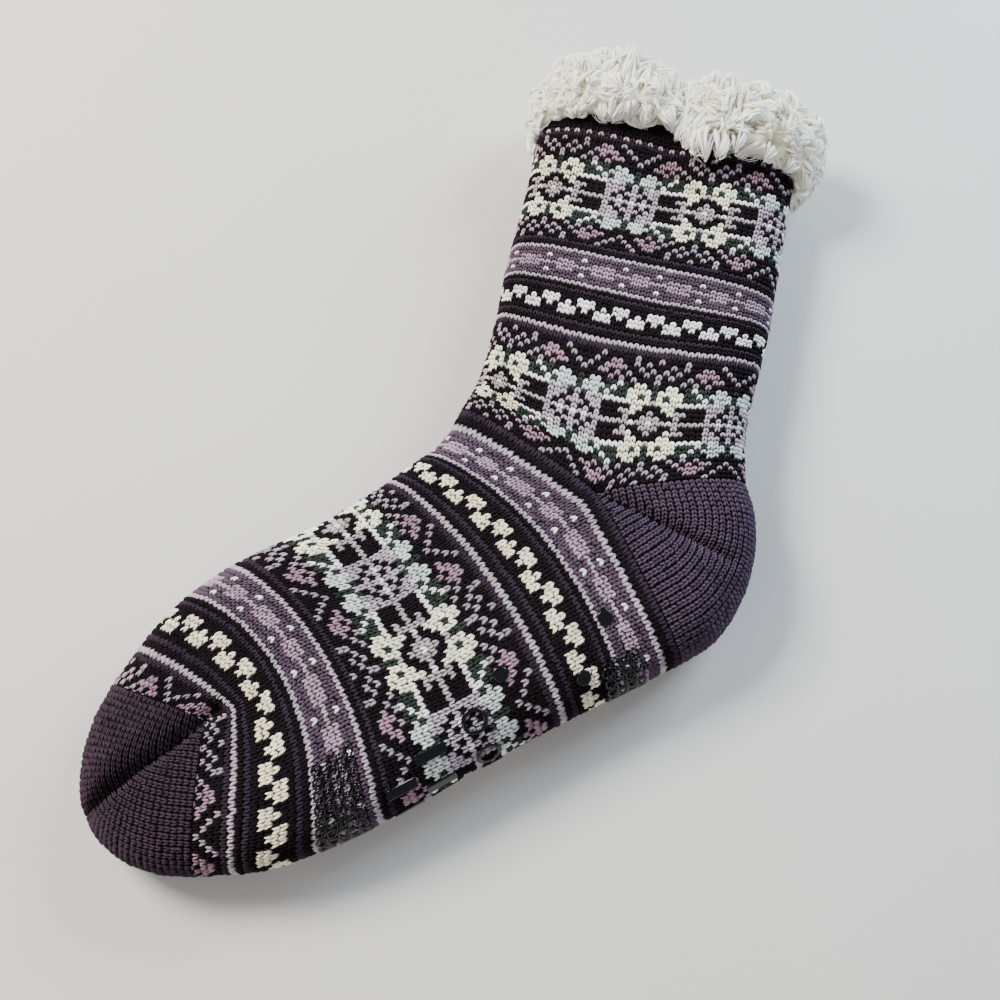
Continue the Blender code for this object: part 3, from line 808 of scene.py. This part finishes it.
def make_fleece_material():
    """Ivory fleece: darker cream at the roots, painted shade of the depths between the locks, to white at
    the tips, in soft patches, with hairs as bump.
    """
    material, tree, shader = new_material("fleece_ivory", {
        "Roughness": 0.85,
        "Sheen Weight": 0.20,
        "Sheen Roughness": 0.4,
        "Subsurface Weight": 0.30,
        "Subsurface Radius": (1.0, 0.85, 0.65),
        "Subsurface Scale": 0.002,
        "Specular IOR Level": 0.15,
    })
    patches = math_node(tree, "MULTIPLY_ADD", noise(tree, 60.0, 3.0), 0.5, -0.25)
    place = math_node(tree, "ADD", attribute(tree, "pile")["Fac"], patches)
    ramp = node(tree, "ShaderNodeValToRGB", {"Fac": place})
    elements = ramp.color_ramp.elements
    elements.new(FLEECE_ROOT_SHADE_RAMP[1][0])
    for element, (position, colour) in zip(elements, FLEECE_ROOT_SHADE_RAMP):
        element.position = position
        element.color = (*colour, 1.0)
    tree.links.new(ramp.outputs["Color"], shader.inputs["Base Color"])
    bump(tree, shader, noise(tree, 1500.0, 4.0), 0.2, 0.0003)
    return material


def make_rubber_material():
    """Printed black rubber: glossy, with a faint orange-peel surface."""
    material, tree, shader = new_material("grip_rubber_gloss", {"Specular IOR Level": 0.36})
    peel = noise(tree, 700.0, 2.0)
    rough = spread(tree, peel, 0.10, 0.24)
    colour = vector_node(tree, "MULTIPLY_ADD", (0.003, 0.003, 0.004), rough, (0.0015, 0.0015, 0.0018))
    tree.links.new(rough, shader.inputs["Roughness"])
    tree.links.new(colour, shader.inputs["Base Color"])
    bump(tree, shader, peel, 0.35, 0.0002)
    return material


# Pieces


def grid_faces(lines, columns, wrap_lines=False, wrap_columns=False):
    """Quads of a grid of points, joined end to end where a side wraps."""
    down = np.arange(lines if wrap_lines else lines - 1)
    i, j = every_pair(down, np.arange(columns if wrap_columns else columns - 1))
    k, m = (i + 1) % lines, (j + 1) % columns
    return np.stack([i * columns + j, k * columns + j, k * columns + m, i * columns + m], axis=-1)


def repeat_faces(faces, size, count):
    """Faces of count copies of a shape of size points, one after the other."""
    return (faces[None] + size * np.arange(count)[:, None, None]).reshape(-1, faces.shape[1])


# Wall under the stitches: lines of points on leg, foot and pocket, places in a quarter
GROUND_LINES = (39, 37, 25)
GROUND_PLACES = 14
GROUND_DROP = 0.00030
GROUND_CLEAR = 0.0001
WELD = 0.00002


def make_ground(knit, fleece):
    """The wall under the stitches: leg, foot and pockets in one skin, thickened inwards."""
    places = np.arange(4 * GROUND_PLACES) * QUARTER / GROUND_PLACES
    fans = np.linspace(0, POCKET_COURSES, GROUND_LINES[2])
    across = np.linspace(0, 2, 2 * GROUND_PLACES + 1)
    patches = [
        (tube_points(np.linspace(0, HEEL_COURSE, GROUND_LINES[0]), places, "leg"), True),
        (tube_points(np.linspace(HEEL_COURSE, TOE_COURSE, GROUND_LINES[1]), places, "foot"), True),
        (pocket_points(fans, across, *HEEL), False),
        (pocket_points(fans, across, *TOE), False),
    ]
    points, faces, start = [], [], 0
    for patch, closed in patches:
        points.append(fold(patch).reshape(-1, 3))
        faces.append(grid_faces(*patch.shape[:2], wrap_columns=closed) + start)
        start += len(points[-1])
    ground = new_piece("knit_ground", np.concatenate(points), np.concatenate(faces), [knit, fleece])
    data = ground.data
    mesh = bmesh.new()
    mesh.from_mesh(data)
    bmesh.ops.remove_doubles(mesh, verts=mesh.verts, dist=WELD)
    bmesh.ops.dissolve_degenerate(mesh, edges=mesh.edges, dist=WELD)
    bmesh.ops.recalc_face_normals(mesh, faces=mesh.faces)
    highest = max(mesh.faces, key=lambda face: face.calc_center_median().z)
    if highest.normal.z < 0:
        bmesh.ops.reverse_faces(mesh, faces=mesh.faces)
    mesh.to_mesh(data)
    mesh.free()
    count = len(data.vertices)
    place, outward = np.empty(count * 3, np.float32), np.empty(count * 3, np.float32)
    data.vertices.foreach_get("co", place)
    data.vertices.foreach_get("normal", outward)
    sunk = (place - outward * GROUND_DROP).reshape(-1, 3)
    sunk[:, 2] = np.maximum(sunk[:, 2], GROUND_CLEAR)
    data.vertices.foreach_set("co", sunk.ravel())
    data.shade_smooth()
    wall = ground.modifiers.new("wall", "SOLIDIFY")
    wall.thickness = WALL - 2 * GROUND_DROP
    wall.offset = -1
    wall.use_rim = True
    wall.material_offset = 1
    wall.material_offset_rim = 1
    return ground


CUFF_COURSES = (0, 3, 6)
CUFF_COLUMNS = 208
CUFF_LINES = 40
CUFF_SHRINK = 0.85
CUFF_CLEAR = 0.0002
LUMP_CLEAR = 0.0001
LUMP_HEIGHT = 0.00075


def cuff_form():
    """Grid of points round the collar and across the cuff.

    Each column is a closed section: inside the mouth, over the top and down to the skirt, then back
    up through the slot that the rim sits in.
    """
    places = np.arange(CUFF_COLUMNS) * STITCHES / CUFF_COLUMNS
    rows = fold(tube_points(CUFF_COURSES, places, "leg"))
    table = np.array(CUFF_ROUND, float)
    shares = curve_through(table[:, 0], table[:, 1:], places)
    height, bulge, skirt = (shares * (CUFF_HEIGHT, CUFF_BULGE, CUFF_SKIRT)).T[:, :, None]
    rim = rows[0]
    around = np.roll(rim, -1, axis=0) - np.roll(rim, 1, axis=0)
    outward = unit(np.cross(rows[1] - rim, around))
    up = np.append(leg_axis()[0], 0.0)
    down = unit(rows[2] - rim)
    inner = WALL + GAP
    corners = np.linspace(0, 1, len(CUFF_SECTION))
    section = curve_through(corners, CUFF_SECTION, np.linspace(0, 1, CUFF_LINES))
    lines = []
    for out_share, up_share in section:
        outside = out_share > 0
        out = out_share * bulge * CUFF_SHRINK if outside else out_share * CUFF_LINING - inner
        below = skirt if outside else CUFF_TUCK
        if up_share > 0:
            lines.append(rim + outward * out + up * (up_share * height * CUFF_SHRINK))
        else:
            lines.append(rim + outward * out - down * (up_share * below))
    slot = [
        rim + down * skirt + outward * 2 * GAP,
        rim + outward * 2 * GAP + up * GAP,
        rim - outward * inner + up * GAP,
        rim + down * CUFF_TUCK - outward * inner,
    ]
    grid = np.stack(lines + slot, axis=1)
    keep_above(grid, CUFF_CLEAR)
    return grid


def make_cuff(fleece):
    """The cuff's body, its grid and outward directions.

    Its free fleece is the closed form swollen in lumps, by a sum of waves in three directions.
    """
    grid = cuff_form()
    columns, lines = grid.shape[:2]
    around = np.roll(grid, -1, axis=0) - np.roll(grid, 1, axis=0)
    along = np.gradient(grid, axis=1)
    outward = unit(np.cross(along, around))
    x, y, z = (grid[..., k] * 1000 for k in range(3))
    lumps = np.sin(0.55 * x + 0.7 * z) + np.sin(0.5 * y - 0.65 * x) + np.sin(0.7 * z + 0.45 * y + 2.0)
    lumps[:, CUFF_LINES:] = 0.0
    grown = grid + outward * (LUMP_HEIGHT * lumps)[..., None]
    keep_above(grown, LUMP_CLEAR)
    faces = grid_faces(columns, lines, wrap_lines=True, wrap_columns=True)[:, ::-1]
    # The body has no pile attribute, so the fleece material gives it the root colour: painted shade
    return new_piece("cuff_body", grown.reshape(-1, 3), faces, [fleece]), grown, outward


# Fleece: tufts in a grid round the cuff and over it. Each is a bunch of locks and of finer strands:
# name, count in a tuft, sides, rings, shortest and longest, thinnest and thickest, how far the tips
# draw together, seed
TUFTS_ROUND = 44
TUFTS_OVER = 11
TUFT_SEED = 7
TUFT_SPREAD = 1.60
TUFT_RISE = 0.42
TUFT_LAY = 0.68
TUFT_KNEE = 0.42
TUFT_CURL = 0.34
TUFT_SAG = 0.25
TUFT_JITTER = 0.35
TUFT_STRAY = 0.75
TUFT_LENGTHS = (0.75, 1.20)
CREST_LINES = (16, 20)
SKIRT_LINES = (24.8, 33.6)
FRONT_SHORT = 0.62
FRONT_STITCHES = (2.0, 14.0)
HANG_PULL = 3
BUNCHES = (
    ("cuff_locks", 9, 4, 5, (0.0052, 0.0078), (0.00072, 0.00118), 0.80, 11),
    ("cuff_strands", 19, 3, 3, (0.0056, 0.0086), (0.00012, 0.00027), 0.78, 12),
)

# Tufts that hang over the knit: stitch, line on the cuff, how much longer than the others
HANGING = (
    (29.6, 36.5, 1.20), (31.0, 37.5, 1.50), (32.5, 38.0, 1.80),
    (33.9, 38.0, 2.10), (35.1, 38.0, 1.90), (36.9, 37.0, 1.35),
)

# Locks: how far tip and knee stray, depth of the root, taper and its power, pile shade
TIP_STRAY = 0.09
KNEE_STRAY = 0.07
ROOT_DEPTH = 0.0008
LOCK_TAPER = 0.86
TAPER_POWER = 2.6
PILE_ROOT = 0.15
PILE_SHADES = (0.85, 1.10)


def make_tufts(fleece_skin):
    """Tufts: column and line on the fleece, the way they lie, their sideways curl, how long they are.

    The way is random along the skin, drawn up towards the crest and down at the skirt.
    """
    chance = np.random.default_rng(TUFT_SEED)
    width = np.linalg.norm(np.diff(fleece_skin[0][:, : CUFF_LINES + 1], axis=1), axis=-1).mean(axis=0)
    run = np.append(0, np.cumsum(width))
    i, j = every_pair(np.arange(TUFTS_ROUND), np.arange(TUFTS_OVER))
    column = i + j % 2 / 2 + chance.uniform(-TUFT_JITTER, TUFT_JITTER, i.size)
    column = column / TUFTS_ROUND % 1.0 * CUFF_COLUMNS
    share = (j + 0.5 + chance.uniform(-TUFT_JITTER, TUFT_JITTER, i.size)) / TUFTS_OVER
    line = np.interp(share * run[-1], run, np.arange(CUFF_LINES + 1))
    hanging = np.array(HANGING)
    column = np.append(column, hanging[:, 0] / STITCHES * CUFF_COLUMNS)
    line = np.append(line, hanging[:, 1])
    longer = np.append(chance.uniform(*TUFT_LENGTHS, i.size), hanging[:, 2])[:, None]
    from_front = np.minimum(column, CUFF_COLUMNS - column) / CUFF_COLUMNS * STITCHES
    full = smooth_step(*FRONT_STITCHES, from_front)[:, None]
    longer = longer * (FRONT_SHORT + (1 - FRONT_SHORT) * full)
    hangs = np.append(np.zeros(i.size), np.ones(len(hanging)))[:, None]
    normal = on_skin(fleece_skin, column, line)[1]
    over = unit(on_skin(fleece_skin, column, line + 1.0)[0] - on_skin(fleece_skin, column, line - 1.0)[0])
    pull = 1 - 2 * smooth_step(*CREST_LINES, line) + 2 * smooth_step(*SKIRT_LINES, line)
    way = chance.standard_normal((len(line), 3)) * TUFT_STRAY + over * pull[:, None]
    way = way - np.array([0.0, 0.0, TUFT_SAG])
    way = unit(way - normal * (way * normal).sum(axis=-1, keepdims=True))
    way = unit(way - HANG_PULL * hangs * np.append(leg_axis()[0], 0.0))
    curl = np.cross(normal, way) * chance.uniform(-TUFT_CURL, TUFT_CURL, (len(line), 1))
    return column, line, way, curl, longer


def make_locks(fleece_skin, tufts, bunch, fleece):
    """Tapered locks of fleece, in bunches whose tips draw together.

    A lock's middle line is a square curve from its root over a knee to its tip:
    root (1-t)^2 + 2 knee t (1-t) + tip t^2. Its width falls as 1 - taper t^power from root to tip.
    """
    name, each, sides, rings, lengths, widths, draw, seed = bunch
    column, line, way, curl, longer = tufts
    heart, upright = on_skin(fleece_skin, column, line)
    point = heart + (upright * TUFT_RISE + way * TUFT_LAY) * np.mean(lengths) * longer
    tuft = np.repeat(np.arange(len(line)), each)
    count = len(tuft)
    chance = np.random.default_rng(seed)
    spot = chance.standard_normal((2, count)) * TUFT_SPREAD
    rooted = np.clip(line[tuft] + spot[1], 0.5, CUFF_LINES - 0.5)
    root, normal = on_skin(fleece_skin, (column[tuft] + spot[0]) % CUFF_COLUMNS, rooted)
    length = chance.uniform(*lengths, (count, 1)) * longer[tuft]
    tip = root + (normal * TUFT_RISE + way[tuft] * TUFT_LAY) * length
    tip = tip + chance.standard_normal((count, 3)) * length * TIP_STRAY
    tip = tip + (point[tuft] - tip) * draw
    knee = root + (normal * TUFT_KNEE + curl[tuft]) * length
    knee = knee + chance.standard_normal((count, 3)) * length * KNEE_STRAY
    start = root - normal * ROOT_DEPTH
    t = np.linspace(0, 1, rings + 1)[None, :, None]
    middle = start[:, None] * (1 - t) ** 2 + 2 * knee[:, None] * t * (1 - t) + tip[:, None] * t**2
    along = unit(np.gradient(middle, axis=1))
    first = unit(np.cross(along, unit(chance.standard_normal((count, 1, 3)))))
    second = np.cross(along, first)
    swell = chance.uniform(*widths, (count, 1, 1)) * (1.0 - LOCK_TAPER * t**TAPER_POWER)
    angle = np.arange(sides) * 2 * math.pi / sides
    turned = first[:, :, None] * np.cos(angle)[:, None] + second[:, :, None] * np.sin(angle)[:, None]
    points = middle[:, :, None] + turned * swell[:, :, None]
    keep_above(points)
    around = grid_faces(rings + 1, sides, wrap_columns=True)
    around = np.concatenate([around[:, [0, 1, 2]], around[:, [0, 2, 3]]])
    fan = np.stack([np.zeros(sides - 2, int), np.arange(1, sides - 1), np.arange(2, sides)], axis=-1)
    template = np.concatenate([around[:, ::-1], fan[:, ::-1], fan + rings * sides])
    faces = repeat_faces(template, (rings + 1) * sides, count)
    piece = new_piece(name, points.reshape(-1, 3), faces, [fleece])
    # The pile runs from root to tip; with it the fleece material darkens the roots as painted shade
    shade = chance.uniform(*PILE_SHADES, (count, 1))
    pile = np.clip(np.linspace(PILE_ROOT, 1.0, rings + 1)[None] * shade, 0, 1)
    paint(piece, "pile", np.repeat(pile.ravel(), sides)[:, None])
    return piece


# Nets of rubber: name, course and stitch of the middle, rows and columns of meshes. Each mesh is a
# ring with a round back, set on the knit and touching its neighbours
NETS = (("front", 130.0, 48.0, 5, 11), ("heel", 86.5, 51.0, 4, 7))
MESH_PITCH = 0.0042
MESH_OUTER = 0.00226
MESH_HOLE = 0.00134
MESH_SIDES = 12
MESH_PROFILE = (
    (0.0, -0.0003), (0.06, 0.0006), (0.32, 0.0010), (0.68, 0.0010), (0.94, 0.0006), (1.0, -0.0003),
)


def make_net(net, skin, start_course, rubber):
    """A net of rings: each ring's section is the profile, from its outer to its inner circle."""
    name, course, stitch, rows, columns = net
    row, column = every_pair(np.arange(rows), np.arange(columns))
    along = (row - (rows - 1) / 2) * MESH_PITCH * math.sqrt(3) / 2
    round_foot = (column - (columns - 1) / 2 + (row % 2 - 0.5) / 2) * MESH_PITCH
    profile = np.array(MESH_PROFILE)
    radius = MESH_OUTER + (MESH_HOLE - MESH_OUTER) * profile[:, 0]
    angle = np.arange(MESH_SIDES) * 2 * math.pi / MESH_SIDES
    down = along[:, None, None] + radius[None, :, None] * np.cos(angle)[None, None]
    over = round_foot[:, None, None] + radius[None, :, None] * np.sin(angle)[None, None]
    courses = np.array([course, course + 1, course])
    stitches = np.array([stitch, stitch, stitch + 1])
    corner = on_skin(skin, (courses - start_course) / SKIN_STEP, stitches / SKIN_STEP)[0]
    course_step = np.linalg.norm(corner[1] - corner[0])
    stitch_step = np.linalg.norm(corner[2] - corner[0])
    line = (course + down / course_step - start_course) / SKIN_STEP
    points, normals = on_skin(skin, line, (stitch + over / stitch_step) / SKIN_STEP)
    points = points + normals * profile[None, :, 1, None, None]
    keep_above(points)
    faces = grid_faces(len(profile), MESH_SIDES, wrap_lines=True, wrap_columns=True)[:, ::-1]
    faces = repeat_faces(faces, len(profile) * MESH_SIDES, len(row))
    return new_piece(f"grip_rings_{name}", points.reshape(-1, 3), faces, [rubber])


PRINT_BEVEL = 0.00055
PRINT_ANGLE = 50


def round_off(grip):
    """Rounds a print as set rubber is: its loose faces joined, its edges bevelled, then smoothed."""
    weld = grip.modifiers.new("weld", "WELD")
    weld.merge_threshold = WELD
    bevel = grip.modifiers.new("edge", "BEVEL")
    bevel.width = PRINT_BEVEL
    bevel.segments = 2
    bevel.limit_method = "ANGLE"
    bevel.angle_limit = math.radians(PRINT_ANGLE)
    smooth = grip.modifiers.new("smooth", "SUBSURF")
    smooth.levels = 2
    smooth.render_levels = 2


# Stage

FLOOR_REACH = 3.0
FLOOR_POINTS = 7
FLOOR_COLOUR = (0.62, 0.60, 0.57)
SKY_COLOUR = (0.86, 0.90, 1.0, 1.0)
SKY_STRENGTH = 0.42

# Lights: name, place, what it looks at, size, watts, colour
LIGHTS = (
    ("key", (-0.42, 0.72, 0.90), (0.0, 0.0, 0.0), 0.45, 31.5, (1.0, 0.97, 0.89)),
    ("window", (0.85, 0.20, 0.50), (0.05, 0.0, 0.0), 0.45, 15.0, (0.66, 0.82, 1.0)),
    ("fill", (-0.95, -0.50, 0.50), (0.0, 0.0, 0.0), 0.50, 4.0, (1.0, 0.95, 0.88)),
)


def make_floor():
    """Plain pale floor, a grid with a faint mottle."""
    span = np.linspace(-FLOOR_REACH, FLOOR_REACH, FLOOR_POINTS)
    x, y = every_pair(span, span)
    points = np.stack([x, y, np.zeros_like(x)], axis=-1)
    material, tree, shader = new_material("pale_floor", {"Roughness": 0.75})
    mottle = spread(tree, noise(tree, 9.0, 2.0), 0.97, 1.03)
    tree.links.new(vector_node(tree, "MULTIPLY", FLOOR_COLOUR, mottle), shader.inputs["Base Color"])
    floor = new_piece("floor", points, grid_faces(FLOOR_POINTS, FLOOR_POINTS), [material])


def make_light(name, place, target, size, power, colour):
    """A square area light at place that looks at target."""
    light = bpy.data.lights.new(name, "AREA")
    light.size = size
    light.energy = power
    light.color = colour
    lamp = add_object(name, light)
    lamp.location = place
    lamp.rotation_euler = (Vector(target) - Vector(place)).to_track_quat("-Z", "Y").to_euler()


def make_camera():
    """The photograph's camera from its place and its directions right and up."""
    data = bpy.data.cameras.new("camera")
    data.lens = CAMERA_LENS
    data.sensor_width = CAMERA_SENSOR
    data.sensor_height = CAMERA_SENSOR
    data.clip_start = 0.01
    right, up = Vector(CAMERA_RIGHT).normalized(), Vector(CAMERA_UP)
    up = (up - right * up.dot(right)).normalized()
    turn = Matrix((right, up, right.cross(up))).transposed().to_4x4()
    camera = add_object("camera", data)
    camera.matrix_world = Matrix.Translation(CAMERA_PLACE) @ turn
    bpy.context.scene.camera = camera


def make_world():
    world = bpy.data.worlds.new("studio")
    world.use_nodes = True
    background = world.node_tree.nodes["Background"]
    background.inputs["Color"].default_value = SKY_COLOUR
    background.inputs["Strength"].default_value = SKY_STRENGTH
    bpy.context.scene.world = world


STITCH = stitch_template(LOOP_ACROSS, LOOP_HALF)
POCKET_STITCH = stitch_template(POCKET_ACROSS, POCKET_HALF)

yarn = make_yarn_material(make_ply_group())
ground = make_ground_material()
fleece = make_fleece_material()
rubber = make_rubber_material()

leg_skin = tube_skin(0, HEEL_COURSE, "leg")
foot_skin = tube_skin(HEEL_COURSE, TOE_COURSE, "foot")
heel_skin = pocket_skin(*HEEL)
toe_skin = pocket_skin(*TOE)

upper_pieces = [
    make_ground(ground, fleece),
    knit_tube("knit_leg", leg_skin, FIRST_ROW, HEEL_ROW - 1, 0, yarn, 1),
    knit_tube("knit_foot", foot_skin, HEEL_ROW, TOE_ROW, HEEL_COURSE, yarn, 2),
    knit_pocket("knit_heel", heel_skin, yarn, HEEL_LIGHT_TINT, 3),
    knit_pocket("knit_toe", toe_skin, yarn, TOE_SHADE_TINT, 4),
]
for piece in upper_pieces:
    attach(piece, "root")
    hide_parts("knit_upper")

body, cuff_grid, cuff_outward = make_cuff(fleece)
fleece_skin = [np.concatenate([around, around[:1]]) for around in (cuff_grid, cuff_outward)]
tufts = make_tufts(fleece_skin)
for piece in [body] + [make_locks(fleece_skin, tufts, bunch, fleece) for bunch in BUNCHES]:
    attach(piece, "root")
    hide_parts("sherpa_cuff")

for name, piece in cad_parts.items():
    if name.startswith("grip_"):
        for slot in piece.material_slots:
            slot.material = rubber
        round_off(piece)

for net in NETS:
    piece = make_net(net, foot_skin, HEEL_COURSE, rubber)
    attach(piece, "root")
    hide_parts("grip_net_" + net[0])

make_floor()
make_camera()
make_world()
for light in LIGHTS:
    make_light(*light)
